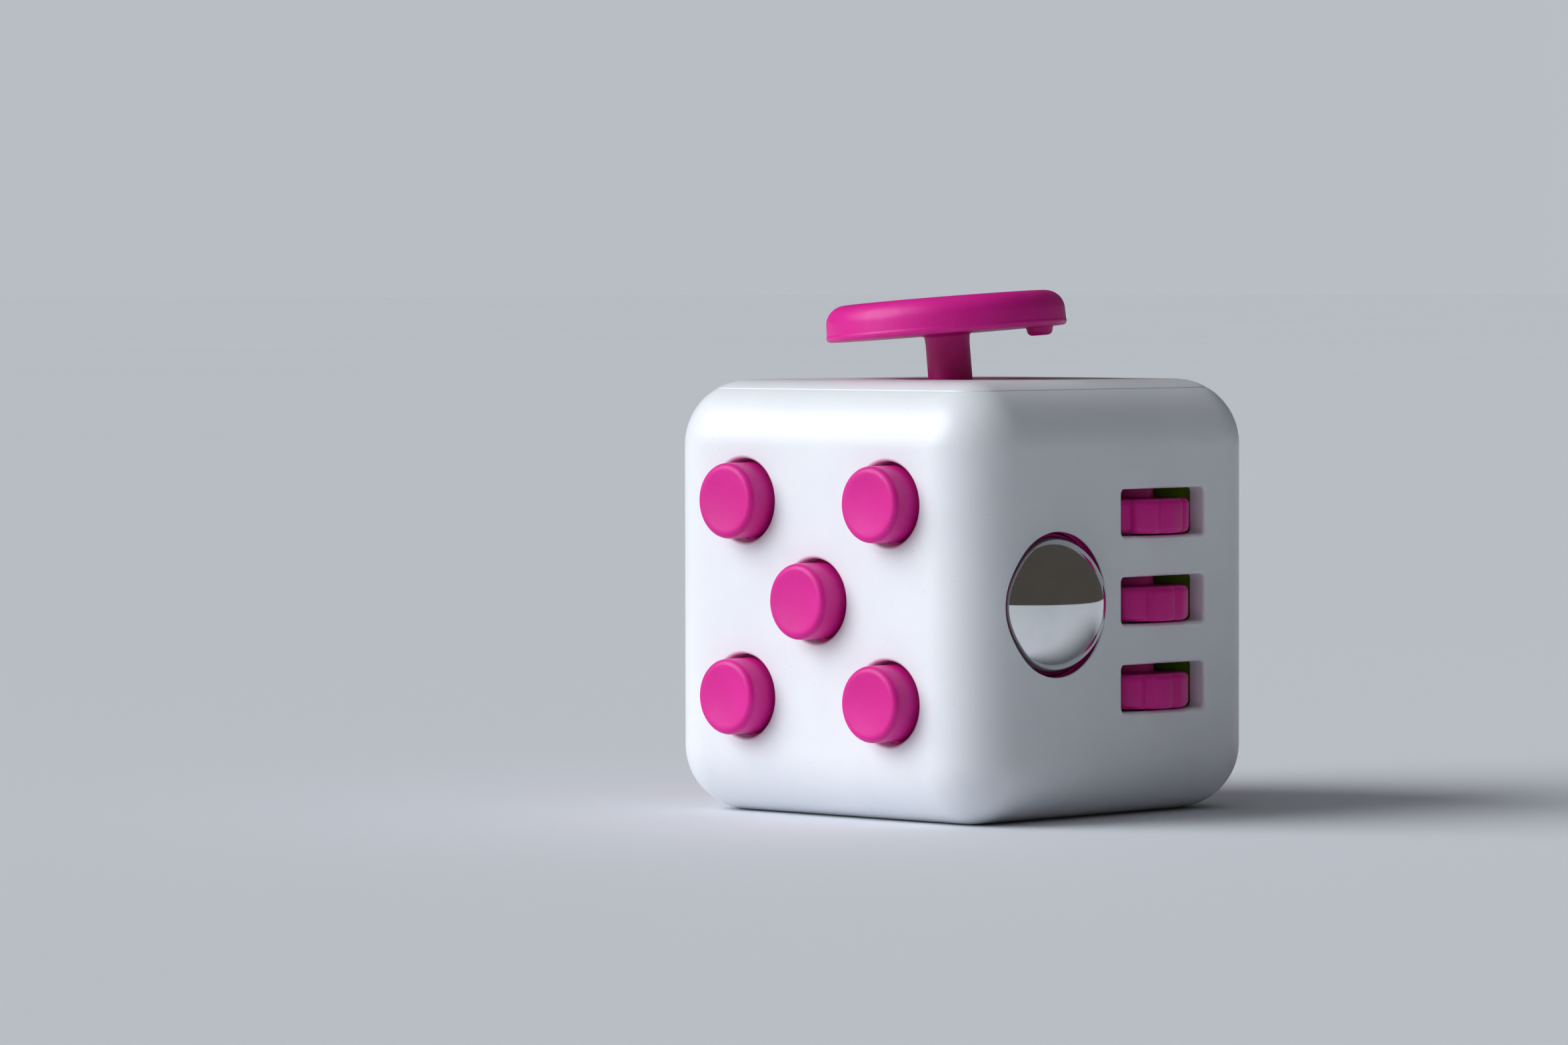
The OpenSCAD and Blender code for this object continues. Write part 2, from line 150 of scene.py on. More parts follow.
def loft(name, rings, closed=False):
    """Closed skin through rings of equal length; capped at both ends, or joined end to end if closed."""
    n = len(rings[0])
    verts = [v for ring in rings for v in ring]
    faces = []
    last = len(rings) if closed else len(rings) - 1
    for i in range(last):
        low, high = i * n, (i + 1) % len(rings) * n
        for j in range(n):
            faces.append((low + j, low + (j + 1) % n, high + (j + 1) % n, high + j))
    if not closed:
        faces.append(tuple(range(n))[::-1])
        faces.append(tuple(range((len(rings) - 1) * n, len(rings) * n)))
    return outward(new_object(name, verts, faces))


# The three axes of each face's own frame: across, up and out.
FRONT = (Vector((1, 0, 0)), Vector((0, 0, 1)), Vector((0, -1, 0)))
BACK = (Vector((-1, 0, 0)), Vector((0, 0, 1)), Vector((0, 1, 0)))
RIGHT = (Vector((0, 1, 0)), Vector((0, 0, 1)), Vector((1, 0, 0)))
LEFT = (Vector((0, -1, 0)), Vector((0, 0, 1)), Vector((-1, 0, 0)))
TOP = (Vector((1, 0, 0)), Vector((0, 1, 0)), Vector((0, 0, 1)))
UNDER = (Vector((1, 0, 0)), Vector((0, -1, 0)), Vector((0, 0, -1)))


def on_face(face, u, v, out):
    """Point at (u, v) on a face of the cube, out from the cube's middle."""
    return MID + face[0] * u + face[1] * v + face[2] * out


def flat_ring(points, face, out):
    """An outline's points on a plane at distance out from the cube's middle."""
    return [on_face(face, u, v, out) for u, v in points]


def skin_ring(points, face, depth):
    """An outline's points laid on the cube's skin and sunk by depth."""
    axis = [abs(x) for x in face[2]].index(1)
    return [on_face(face, u, v, skin_height(on_face(face, u, v, 0), axis) - depth) for u, v in points]


def lip_profile(lip, clear, steps=LIP_STEPS):
    """Pairs (grow, depth) round a lip of radius lip, and on along its last slope to clear above the skin."""
    turns = [LIP_TURN * k / steps for k in range(steps + 1)]
    pairs = [(lip * (1 - math.cos(t)), lip * (1 - math.sin(t))) for t in turns]
    grow, depth = pairs[-1]
    return pairs + [(grow + (clear + depth) * math.tan(LIP_TURN), -clear)]


def lip_rings(outline, face, floor, lip):
    """Rings of a cutter: straight from floor up to a rounded lip that follows the cube's skin."""
    rings = [flat_ring(outline(0), face, floor)]
    for grow, depth in lip_profile(lip, 0.25 * MM):
        rings.append(skin_ring(outline(grow), face, depth))
    return rings


def lathe(name, profile, steps=96, closed=False, shape=None, place=None):
    """Solid of revolution about Z through (radius, height) points; shape bends the radius by angle."""
    rings = []
    for r, h in profile:
        ring = []
        for k in range(steps):
            t = 2 * math.pi * k / steps
            q = max(r, 1e-6) * (shape(t, r) if shape else 1)
            ring.append(Vector((q * math.cos(t), q * math.sin(t), h)))
        rings.append(ring)
    obj = loft(name, rings, closed)
    if place is not None:
        obj.data.transform(place)
        outward(obj)
    return obj


def in_mm(points):
    return [(r * MM, h * MM) for r, h in points]


def arc(cx, cy, radius, start, end, steps=8):
    """Points along an arc, angles in degrees."""
    turns = [math.radians(start + (end - start) * k / steps) for k in range(steps + 1)]
    return [(cx + radius * math.cos(t), cy + radius * math.sin(t)) for t in turns]


def facing(face, u, v):
    """Matrix that puts a shape drawn along +Z onto a face, at (u, v), pointing out of it."""
    turn = Matrix((face[0], face[1], face[0].cross(face[1]))).transposed()
    return Matrix.Translation(on_face(face, u, v, 0)) @ turn.to_4x4()


def apply_modifiers(obj):
    bpy.context.view_layer.update()
    graph = bpy.context.evaluated_depsgraph_get()
    result = bpy.data.meshes.new_from_object(obj.evaluated_get(graph))
    obj.modifiers.clear()
    old = obj.data
    obj.data = result
    bpy.data.meshes.remove(old)


def combine(obj, tool, operation):
    """Boolean of obj with tool, which is used up."""
    step = obj.modifiers.new("combine", "BOOLEAN")
    step.object = tool
    step.operation = operation
    step.solver = "EXACT"
    apply_modifiers(obj)
    bpy.data.objects.remove(tool)


def cut_hole(obj, outline, face, floor, lip):
    """Hole with a rounded lip, from floor out through a face."""
    combine(obj, loft("tool", lip_rings(outline, face, floor, lip)), "DIFFERENCE")


def cylinder(radius, low, high, steps=96, place=None):
    return lathe("tool", [(0, low), (radius, low), (radius, high), (0, high)], steps, place=place)


ON_SKIN = 4e-6                  # a corner this close to the skin lies on it
ALONG = 0.85                    # its face has to point this nearly the skin's way


def shade(obj, angle, skin=None):
    """Smooth shading with sharp edges by angle. Points on the skin get the skin's own normal."""
    mesh = obj.data
    mesh.shade_smooth()
    mesh.set_sharp_from_angle(angle=math.radians(angle))
    if skin is None:
        return
    count = len(mesh.loops)
    normals = np.zeros(count * 3)
    mesh.corner_normals.foreach_get("vector", normals)
    normals = normals.reshape(-1, 3)
    index = np.zeros(count, int)
    mesh.loops.foreach_get("vertex_index", index)
    points = np.zeros(len(mesh.vertices) * 3)
    mesh.vertices.foreach_get("co", points)
    points = points.reshape(-1, 3)[index] - np.array(MID)
    side, radius = skin
    core = np.clip(points, radius - side / 2, side / 2 - radius)
    away = points - core
    length = np.linalg.norm(away, axis=1)
    ideal = away / np.maximum(length, 1e-12)[:, None]
    flat = np.zeros((count, 3))
    for p in mesh.polygons:
        flat[p.loop_start:p.loop_start + p.loop_total] = p.normal
    on_skin = np.abs(length - radius) < ON_SKIN
    along = (ideal * flat).sum(1) > ALONG
    use = on_skin & along
    normals[use] = ideal[use]
    mesh.normals_split_custom_set([tuple(n) for n in normals])


def bevel(obj, width, steps, angle):
    step = obj.modifiers.new("bevel", "BEVEL")
    step.width = width
    step.segments = steps
    step.limit_method = "ANGLE"
    step.angle_limit = math.radians(angle)
    step.use_clamp_overlap = True
    apply_modifiers(obj)


# ------------------------------------------------------------ materials

class Nodes:
    """Small helper that builds one material's node tree."""

    def __init__(self, name):
        self.material = bpy.data.materials.new(name)
        self.material.use_nodes = True
        self.tree = self.material.node_tree
        self.shader = self.tree.nodes["Principled BSDF"]
        place = self.add("ShaderNodeTexCoord")
        scale = self.add("ShaderNodeVectorMath", operation="SCALE")
        scale.inputs["Scale"].default_value = 1000
        self.link(place.outputs["Object"], scale.inputs[0])
        self.mm = scale.outputs["Vector"]

    def add(self, kind, **settings):
        node = self.tree.nodes.new(kind)
        for key, value in settings.items():
            setattr(node, key, value)
        return node

    def link(self, a, b):
        self.tree.links.new(a, b)

    def noise(self, scale, detail):
        node = self.add("ShaderNodeTexNoise")
        node.inputs["Scale"].default_value = scale
        node.inputs["Detail"].default_value = detail
        self.link(self.mm, node.inputs["Vector"])
        return node.outputs["Fac"]

    def ramp(self, value, low, high, start=0.0, end=1.0):
        node = self.add("ShaderNodeMapRange")
        node.inputs["From Min"].default_value = low
        node.inputs["From Max"].default_value = high
        node.inputs["To Min"].default_value = start
        node.inputs["To Max"].default_value = end
        self.link(value, node.inputs["Value"])
        return node.outputs["Result"]

    def math(self, operation, a, b):
        node = self.add("ShaderNodeMath", operation=operation)
        for socket, value in zip(node.inputs, (a, b)):
            if isinstance(value, (int, float)):
                socket.default_value = value
            else:
                self.link(value, socket)
        return node.outputs["Value"]

    def mix(self, factor, a, b):
        node = self.add("ShaderNodeMix", data_type="RGBA")
        self.link(factor, node.inputs["Factor"])
        for socket, value in ((node.inputs[6], a), (node.inputs[7], b)):
            if isinstance(value, tuple):
                socket.default_value = (*value, 1)
            else:
                self.link(value, socket)
        return node.outputs[2]

    def specks(self, scale, size, share):
        """Sparse small dots: scale dots per mm, size as a share of a cell, share of the cells with one."""
        node = self.add("ShaderNodeTexVoronoi")
        node.inputs["Scale"].default_value = scale
        self.link(self.mm, node.inputs["Vector"])
        dot = self.ramp(node.outputs["Distance"], size, size * 0.5)
        split = self.add("ShaderNodeSeparateColor")
        self.link(node.outputs["Color"], split.inputs["Color"])
        chosen = self.math("LESS_THAN", split.outputs["Red"], share)
        return self.math("MULTIPLY", dot, chosen)

    def bump(self, height, strength, distance):
        node = self.add("ShaderNodeBump")
        node.inputs["Strength"].default_value = strength
        node.inputs["Distance"].default_value = distance
        self.link(height, node.inputs["Height"])
        self.link(node.outputs["Normal"], self.shader.inputs["Normal"])

    def set(self, **values):
        for key, value in values.items():
            self.shader.inputs[key.replace("_", " ")].default_value = value


def white_plastic():
    n = Nodes("white_plastic")
    cloud = n.noise(0.12, 3)
    base = n.mix(n.ramp(cloud, 0.35, 0.65), (0.80, 0.825, 0.87), (0.83, 0.85, 0.89))
    dust = n.specks(1.6, 0.055, 0.22)
    n.link(n.mix(dust, base, (0.22, 0.23, 0.26)), n.shader.inputs["Base Color"])
    n.link(n.ramp(n.noise(0.5, 4), 0.3, 0.7, 0.30, 0.38), n.shader.inputs["Roughness"])
    n.set(IOR=1.5, Subsurface_Weight=0.08, Subsurface_Scale=0.0008)
    n.bump(n.noise(2.2, 3), 0.06, 0.02 * MM)
    return n.material


def magenta_plastic():
    n = Nodes("magenta_plastic")
    cloud = n.noise(0.25, 3)
    base = n.mix(n.ramp(cloud, 0.35, 0.65), (0.67, 0.005, 0.26), (0.73, 0.008, 0.30))
    grain = n.ramp(n.noise(7.0, 2), 0.55, 0.75, 0.0, 0.16)
    dusty = n.mix(grain, base, (0.78, 0.09, 0.45))
    bits = n.specks(2.6, 0.06, 0.12)
    n.link(n.mix(bits, dusty, (0.85, 0.55, 0.68)), n.shader.inputs["Base Color"])
    n.link(n.ramp(n.noise(1.2, 4), 0.3, 0.7, 0.38, 0.50), n.shader.inputs["Roughness"])
    n.set(IOR=1.42, Subsurface_Weight=0.05, Subsurface_Scale=0.0005)
    n.bump(n.noise(9.0, 2), 0.10, 0.012 * MM)
    return n.material


def chrome():
    n = Nodes("chrome")
    haze = n.noise(0.6, 4)
    n.link(n.mix(n.ramp(haze, 0.3, 0.7), (0.76, 0.77, 0.78), (0.82, 0.83, 0.84)),
           n.shader.inputs["Base Color"])
    n.link(n.ramp(n.noise(1.5, 4), 0.35, 0.75, 0.03, 0.07), n.shader.inputs["Roughness"])
    n.set(Metallic=1.0)
    n.bump(n.noise(14.0, 2), 0.02, 0.004 * MM)
    return n.material


def green_plastic():
    n = Nodes("green_plastic")
    n.link(n.mix(n.ramp(n.noise(0.4, 3), 0.3, 0.7), (0.30, 0.60, 0.03), (0.40, 0.72, 0.04)),
           n.shader.inputs["Base Color"])
    n.link(n.ramp(n.noise(1.5, 3), 0.3, 0.7, 0.4, 0.55), n.shader.inputs["Roughness"])
    n.bump(n.noise(6.0, 2), 0.1, 0.01 * MM)
    return n.material


def grey_plastic():
    n = Nodes("grey_plastic")
    n.link(n.mix(n.ramp(n.noise(0.5, 3), 0.3, 0.7), (0.16, 0.165, 0.175), (0.21, 0.215, 0.225)),
           n.shader.inputs["Base Color"])
    n.link(n.ramp(n.noise(2.0, 3), 0.3, 0.7, 0.5, 0.65), n.shader.inputs["Roughness"])
    n.bump(n.noise(6.0, 2), 0.15, 0.01 * MM)
    return n.material


def spring_steel():
    n = Nodes("spring_steel")
    n.link(n.mix(n.ramp(n.noise(0.8, 3), 0.3, 0.7), (0.50, 0.50, 0.52), (0.60, 0.60, 0.61)),
           n.shader.inputs["Base Color"])
    n.link(n.ramp(n.noise(3.0, 3), 0.3, 0.7, 0.25, 0.38), n.shader.inputs["Roughness"])
    n.set(Metallic=1.0)
    n.bump(n.noise(12.0, 2), 0.1, 0.006 * MM)
    return n.material


MATERIALS = {m.__name__: m() for m in
             (white_plastic, magenta_plastic, chrome, green_plastic, grey_plastic, spring_steel)}


def piece(obj, body, slot, *nodes):
    """Gives a finished piece its material and its body, and hides the CAD nodes it stands for."""
    obj.data.materials.clear()
    obj.data.materials.append(MATERIALS[slot])
    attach(obj, body)
    if nodes:
        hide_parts(*nodes)


# ------------------------------------------------------------ shell and top panel

BUTTONS = [f"button_{i}" for i in range(1, 6)]
WHEELS = ("wheel_low", "wheel_mid", "wheel_top")
INNER = HALF - WALL
LIP_Z = SIDE - 3.4 * MM          # underside of the lip that carries the panel
SEAT_Z = SIDE - 1.7 * MM         # panel seat
SEAT_IN = 14.0 * MM
PANEL_IN = 13.95 * MM
SEAM = 0.07 * MM                 # rounding along the panel's seam
CORNER = 2.5 * MM
PANEL_HOLE = 5 * MM
BUTTON_GAP = 0.32 * MM
BUTTON_R = 2.87 * MM
DISH_R = 9.5 * MM
DISH_DEEP = 1.5 * MM

ball_mid = middle("ball")
BALL_R = (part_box("ball")[1].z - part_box("ball")[0].z) / 2
BALL_GAP = 0.39 * MM
BALL_LIP = 0.22 * MM             # thickness of the window's lip
BALL_LIP_R = 0.1 * MM            # rounding of its edge
POCKET_R = (6.3, 6.1, 5.9, 5.75)  # pocket behind the lip, narrowing toward it, mm
wheel_mid = middle("wheel_mid")
SLOT = (9.53 * MM, 3.55 * MM)
SLOT_DROP = 0.08 * MM            # the slots sit a little under the middle of the face
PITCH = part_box("wheel_top")[0].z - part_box("wheel_mid")[0].z


def ball_window():
    """Cutter for the ball's window: a pocket, and a thin lip that follows a sphere round the ball."""
    cu, cv = ball_mid.y, ball_mid.z - HALF
    steps = 128
    turns = [2 * math.pi * k / steps for k in range(steps)]
    pocket = circle(POCKET_R[0] * MM, steps, (cu, cv))(0)

    def around(radius_at):
        reach = [(radius_at(t), t) for t in turns]
        return [(cu + r * math.cos(t), cv + r * math.sin(t)) for r, t in reach]

    def wall(t, depth):
        """Radius at which the point depth under the skin is BALL_GAP away from the ball."""
        r = BALL_R
        for _ in range(6):
            u, v = cu + r * math.cos(t), cv + r * math.sin(t)
            x = skin_height(on_face(RIGHT, u, v, 0), 0) - depth - ball_mid.x
            r = math.sqrt((BALL_R + BALL_GAP) ** 2 - x * x)
        return r

    rings = [flat_ring(pocket, RIGHT, 13 * MM)]
    for r in POCKET_R:
        rings.append(skin_ring(around(lambda t, r=r: r * MM), RIGHT, BALL_LIP))
    rings.append(skin_ring(around(lambda t: wall(t, BALL_LIP)), RIGHT, BALL_LIP))
    for grow, depth in lip_profile(BALL_LIP_R, 0.25 * MM, 8):
        edge = around(lambda t, grow=grow: wall(t, BALL_LIP_R) + grow)
        rings.append(skin_ring(edge, RIGHT, depth))
    rings.append(flat_ring(pocket, RIGHT, HALF + PAST_SKIN))
    return loft("tool", rings)


def room_inside():
    """The hollow of the shell, flat on top where the lip for the panel starts."""
    room = rounded_cube("tool", 2 * INNER, EDGE_R - WALL, 6)
    bm = bmesh.new()
    bm.from_mesh(room.data)
    geometry = bm.verts[:] + bm.edges[:] + bm.faces[:]
    cut = bmesh.ops.bisect_plane(bm, geom=geometry, plane_co=(0, 0, LIP_Z), plane_no=(0, 0, 1),
                                 clear_outer=True)
    rim = [e for e in cut["geom_cut"] if isinstance(e, bmesh.types.BMEdge)]
    bmesh.ops.contextual_create(bm, geom=rim)
    bm.to_mesh(room.data)
    bm.free()
    return outward(room)


def thumb_dish():
    """Cutter for the dish under the cube: a bowl with a soft rim."""
    bowl = (DISH_R ** 2 + DISH_DEEP ** 2) / (2 * DISH_DEEP)
    profile = [(0, HALF + PAST_SKIN), (DISH_R + 2.3 * MM, HALF + 0.3 * MM),
               (DISH_R + 0.5 * MM, HALF - 0.03 * MM)]
    for k in range(13):
        r = DISH_R * 0.985 * (1 - k / 12)
        profile.append((r, HALF - DISH_DEEP + bowl - math.sqrt(bowl ** 2 - r ** 2)))
    return lathe("tool", profile, place=facing(UNDER, 0, 0))


def make_shell():
    shell = rounded_cube("shell_body", SIDE, EDGE_R, ARC_STEPS)
    inside = INNER - PAST_SKIN
    combine(shell, room_inside(), "DIFFERENCE")
    # opening inside the lip, and the panel's pocket
    well = [Vector((u, v, 0)) for u, v in rounded_rect(12.9 * MM, 12.9 * MM, 0.8 * MM)(0)]
    ends = (LIP_Z - PAST_SKIN, SIDE + PAST_SKIN)
    combine(shell, loft("tool", [[p + Vector((0, 0, z)) for p in well] for z in ends]), "DIFFERENCE")
    seat = rounded_rect(SEAT_IN, SEAT_IN, CORNER, 12)
    rings = lip_rings(seat, TOP, SEAT_Z - HALF, SEAM)
    rings.append(flat_ring(seat(0), TOP, HALF + PAST_SKIN))
    combine(shell, loft("tool", rings), "DIFFERENCE")
    # pads over the dish and behind the dial
    combine(shell, cylinder(11 * MM, 1.2 * MM, 3.1 * MM), "UNION")
    combine(shell, cylinder(10 * MM, 13.8 * MM, 15.3 * MM, place=facing(LEFT, 0, 0)), "UNION")
    for name in BUTTONS:
        at = middle(name)
        hole = circle(BUTTON_R + BUTTON_GAP, 72, (at.x, at.z - HALF))
        cut_hole(shell, hole, FRONT, inside, 0.28 * MM)
    for i in (-1, 0, 1):
        slot = rounded_rect(SLOT[0] / 2, SLOT[1] / 2, 0.4 * MM, 6, (wheel_mid.y, i * PITCH - SLOT_DROP))
        cut_hole(shell, slot, RIGHT, inside, 0.3 * MM)
    combine(shell, ball_window(), "DIFFERENCE")
    rocker_window = rounded_rect(4.6 * MM, 7 * MM, 0.6 * MM, 6)
    cut_hole(shell, rocker_window, BACK, inside, 0.3 * MM)
    # dial recess and bearing
    cut_hole(shell, circle(9.2 * MM, 128), LEFT, HALF - 1 * MM, 0.3 * MM)
    combine(shell, cylinder(2.25 * MM, 12 * MM, 17 * MM, place=facing(LEFT, 0, 0)), "DIFFERENCE")
    combine(shell, thumb_dish(), "DIFFERENCE")
    shade(shell, 40, (SIDE, EDGE_R))
    piece(shell, "housing", "white_plastic", "shell")


def panel_clip():
    """One of the four clips that hold the panel under the lip, on the +X side."""
    inner, outer, barb = 11.8 * MM, 12.75 * MM, 13.5 * MM
    top, low = SEAT_Z + 0.2 * MM, SEAT_Z - 2.7 * MM
    catch = LIP_Z - 0.1 * MM
    hook = [(inner, low), (outer, low), (outer + 0.3 * MM, LIP_Z - 0.85 * MM), (barb, LIP_Z - 0.45 * MM),
            (barb, catch), (outer, catch), (outer, top), (inner, top)]
    return loft("tool", [[Vector((x, y, z)) for x, z in hook] for y in (-2 * MM, 2 * MM)])


def make_panel():
    panel = rounded_cube("top_cover", SIDE, EDGE_R, ARC_STEPS)
    outline = rounded_rect(PANEL_IN, PANEL_IN, CORNER - 0.05 * MM, 12)
    rings = [flat_ring(outline(0), TOP, SEAT_Z - HALF)]
    for grow, depth in lip_profile(SEAM, 0.1 * MM):
        rings.append(skin_ring(outline(-grow), TOP, depth))
    rings.append(flat_ring([(u * 0.8, v * 0.8) for u, v in outline(0)], TOP, HALF + PAST_SKIN))
    combine(panel, loft("tool", rings), "INTERSECT")
    cut_hole(panel, circle(PANEL_HOLE), TOP, SEAT_Z - HALF - PAST_SKIN, 0.35 * MM)
    for turn in range(4):
        clip = panel_clip()
        clip.data.transform(Matrix.Rotation(math.radians(90) * turn, 4, "Z"))
        combine(panel, clip, "UNION")
    shade(panel, 40, (SIDE, EDGE_R))
    piece(panel, "housing", "white_plastic", "top_panel")


# ------------------------------------------------------------ glide stick

LEAN = Matrix.Rotation(math.radians(-4), 4, "Y") @ Matrix.Rotation(math.radians(2.2), 4, "X")
STICK = Matrix.Translation(joint_at("tilt_front")) @ LEAN
DISC_R = 9.24 * MM
DISC_LOW = 15.0 * MM
DISC_T = 2.75 * MM
DISC_SAG = 0.22 * MM             # hollow in the disc's top
POST_R = 1.7                     # mm


def grip_nub():
    """Small rounded nub under the disc's rim."""
    edge = 0.42 * MM
    radius = 1.0 * MM
    height = 0.68 * MM
    profile = [(0, 0.3 * MM), (radius + 0.2 * MM, 0.3 * MM), (radius + 0.2 * MM, 0.02 * MM),
               (radius + 0.06 * MM, -0.06 * MM)]
    profile += arc(radius - edge, edge - height, edge, 0, -88)
    profile.append((0, -height))
    place = STICK @ Matrix.Translation((5.15 * MM, 4.93 * MM, DISC_LOW))
    return lathe("disc_nub", profile, 48, place=place)


def make_disc():
    top = DISC_LOW + DISC_T
    step = DISC_R - 0.03 * MM
    profile = [(0, DISC_LOW), (3.1 * MM, DISC_LOW), (8.3 * MM, DISC_LOW)]
    profile += arc(DISC_R - 0.3 * MM, DISC_LOW + 0.3 * MM, 0.3 * MM, -90, 0, 5)
    profile += [(DISC_R, DISC_LOW + 0.42 * MM), (step, DISC_LOW + 0.47 * MM), (step, DISC_LOW + 0.52 * MM)]
    profile += arc(DISC_R - 1.55 * MM, top - 1.5 * MM, 1.5 * MM, 0, 86, 14)
    for r in (7.2, 6.4, 5, 3.4, 1.7, 0):
        profile.append((r * MM, top - DISC_SAG * (1 - (r / 7.4) ** 2)))
    disc = lathe("glide_disc", profile, 160, place=STICK)
    shade(disc, 32)
    combine(disc, grip_nub(), "UNION")
    shade(disc, 32)
    piece(disc, "stick", "magenta_plastic", "joystick_disc")


def make_post():
    """Post with its ball and foot inside the cube, and a small fillet where it meets the disc."""
    stem = [(0, -5.5), (1.1, -5.5), (1.3, -5.3), (1.3, -3.6), (2.6, -3.6), (2.6, -2.9), (1.4, -2.5),
            (1.4, -1.5), (2.4, -1.3), (2.6, -1), (2.6, 1), (2.2, 1.4), (POST_R, 2.2)]
    stem += [(POST_R, h) for h in (6, 10, 14.3)]
    for angle in (30, 60, 85):
        t = math.radians(angle)
        stem.append((POST_R + 0.35 * (1 - math.cos(t)), 14.57 + 0.42 * math.sin(t)))
    stem += [(1.9, 15.1), (1.4, 16.15), (0, 16.15)]
    post = lathe("glide_post", in_mm(stem), 64, place=STICK)
    across = STICK @ Matrix.Rotation(math.radians(90), 4, "Y")
    combine(post, cylinder(0.65 * MM, -4 * MM, 4 * MM, 32, across), "DIFFERENCE")
    shade(post, 32)
    piece(post, "stick", "magenta_plastic", "joystick_stem")


# ------------------------------------------------------------ click buttons

def make_buttons():
    proud = -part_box(BUTTONS[0])[0].y            # distance of the cap's face from the cube's middle
    flange = INNER - 0.8 * MM
    flange_r = BUTTON_R + 0.9 * MM
    under = INNER - 0.05 * MM
    edge = 0.5 * MM
    for i, name in enumerate(BUTTONS, 1):
        at = middle(name)
        profile = [(0, 12.95 * MM), (0.8 * MM, 12.95 * MM), (1 * MM, 13.15 * MM), (1 * MM, flange),
                   (flange_r, flange), (flange_r, under), (BUTTON_R, under),
                   (BUTTON_R, proud - edge - 0.6 * MM)]
        profile += arc(BUTTON_R - edge, proud - edge, edge, 0, 88, 12)
        for r in (2.2, 2.0, 1.7, 1.3, 0.9, 0.45, 0):
            sag = 0.16 * MM * (1 - (r / 2.32) ** 2)
            profile.append((r * MM, proud - sag))
        cap = lathe(f"click_cap_{i}", profile, place=facing(FRONT, at.x, at.z - HALF))
        shade(cap, 35)
        piece(cap, f"click_{i}", "magenta_plastic", name)


# ------------------------------------------------------------ ball, ring and wheels

def make_ball():
    profile = [(BALL_R * math.sin(math.radians(a)), -BALL_R * math.cos(math.radians(a)))
               for a in np.linspace(0, 180, 97)]
    ball = lathe("roll_ball", profile, 192, place=Matrix.Translation(ball_mid))
    shade(ball, 60)
    piece(ball, "roll_ball", "chrome", "ball")
    # ring in the shadow behind the window's lip
    section = [(5.78, 14), (6.2, 14), (6.2, 15.75), (5.5, 15.75), (5.42, 15.67), (5.62, 15)]
    ring = lathe("window_ring", in_mm(section), 128, closed=True,
                 place=facing(RIGHT, ball_mid.y, ball_mid.z - HALF))
    shade(ring, 30)
    piece(ring, "housing", "magenta_plastic", "ball_ring")


TEETH = 11
WHEEL_R = (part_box("wheel_mid")[1].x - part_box("wheel_mid")[0].x) / 2
WHEEL_PHASE = {"wheel_low": 6, "wheel_mid": 9, "wheel_top": 22}   # degrees, as they stand
GROOVE_DEEP = 0.36 * MM
GROOVE_WIDE = 0.40 * MM


def make_wheels():
    rim, hub, bore = 2.58, 2.3, 1.05
    tall = PITCH / MM - 0.25
    big = WHEEL_R / MM
    edge = 0.45
    profile = [(bore, 0), (2.4, 0), (4.2, 0)] + arc(big - edge, edge, edge, -90, 0, 6)
    profile += [(big, 1.0), (big, 1.6)] + arc(big - edge, rim - edge, edge, 0, 90, 6)
    profile += [(4.2, rim), (hub + 0.35, rim)] + arc(hub + 0.25, rim + 0.25, 0.25, -90, -180, 4)
    profile += [(hub, tall - 0.2)] + arc(hub - 0.2, tall - 0.2, 0.2, 0, 90, 4) + [(bore, tall)]
    start = 4.3 * MM                # inside this radius the wheel is round
    fade = 0.4 * MM

    def grooves(t, r):
        if r < start:
            return 1
        turn = t * TEETH / (2 * math.pi)
        away = abs(turn - round(turn)) / TEETH * 2 * math.pi * WHEEL_R
        depth = GROOVE_DEEP * math.exp(-(away / GROOVE_WIDE) ** 2)
        return 1 - depth / WHEEL_R * min(1, (r - start) / fade)

    for name in WHEELS:
        at = middle(name)
        turned = Matrix.Rotation(math.radians(WHEEL_PHASE[name]), 4, "Z")
        place = Matrix.Translation((at.x, at.y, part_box(name)[0].z)) @ turned
        wheel = lathe("thumb_" + name, in_mm(profile), TEETH * 30, closed=True, shape=grooves, place=place)
        shade(wheel, 50)
        piece(wheel, "thumb_" + name, "magenta_plastic", name)


# ------------------------------------------------------------ rocker and dial

def make_rocker():
    hollow = arc(26.5, 0, 23, 193.3, 166.7, 16)
    ends = [(4.13, -6.1), (2, -6.5), (0.2, -6.6), (-1.2, -3), (-2.1, -1.6), (-2.1, 1.6), (-1.2, 3),
            (0.2, 6.6), (2, 6.5), (4.13, 6.1)]
    outline = ends + hollow[-2:0:-1]
    half_wide = 4.35 * MM
    sides = [[Vector((x, w * MM, v * MM)) for w, v in outline] for x in (-half_wide, half_wide)]
    body = loft("rocker_cap", sides)
    bevel(body, 0.35 * MM, 4, 25)
    swing = Matrix.Translation(joint_at("rocker_flip")) @ Matrix.Rotation(math.radians(-10), 4, "X")
    body.data.transform(swing)
    shade(outward(body), 30)
    piece(body, "flip", "magenta_plastic", "rocker")


def dial_nub():
    """Half-round finger nub on the dial's face."""
    profile = in_mm([(0, 16.6), (1.25, 16.6)])
    for angle in range(0, 91, 15):
        t = math.radians(angle)
        profile.append((1.15 * MM * math.cos(t), (17.25 + 0.6 * math.sin(t)) * MM))
    return lathe("tool", profile, 48, place=facing(LEFT, 0, 5 * MM))


